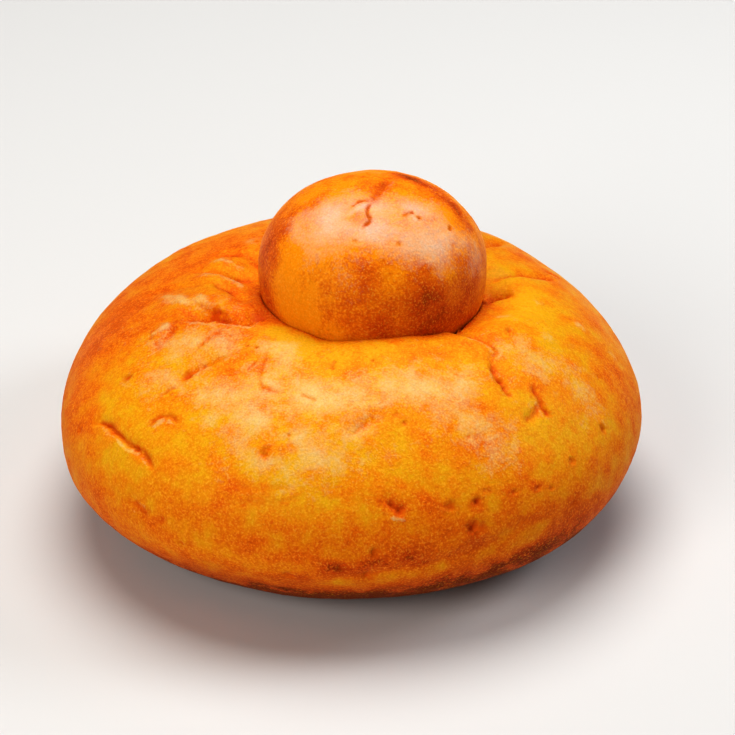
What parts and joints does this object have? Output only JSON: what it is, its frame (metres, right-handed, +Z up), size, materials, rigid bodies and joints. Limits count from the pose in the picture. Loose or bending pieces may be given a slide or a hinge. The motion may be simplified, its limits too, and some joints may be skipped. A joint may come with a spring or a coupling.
{
  "type": "brioche with topknot",
  "caption": "Baked sweet bread: a wide domed golden bun with a dimple pressed into its crown and a small ball of dough seated in it, gathered folds around the seat, and a flat browned base.",
  "frame": {"origin": "centre of the bun's box, on the flat base that it rests on", "axes": "+Z up, front towards -Y as in the picture, +X to the right of the front"},
  "size_m": [0.1072, 0.113, 0.0634],
  "materials": {
    "bun_crust": "egg-washed baked crust, golden yellow to orange brown, soft sheen over a fine grain",
    "topknot_crust": "egg-washed baked crust, deeper orange brown, darkest at its lower front and along its top edge"
  },
  "bodies": {
    "root": {"bun": "bun_crust", "topknot": "topknot_crust"}
  },
  "joints": []
}
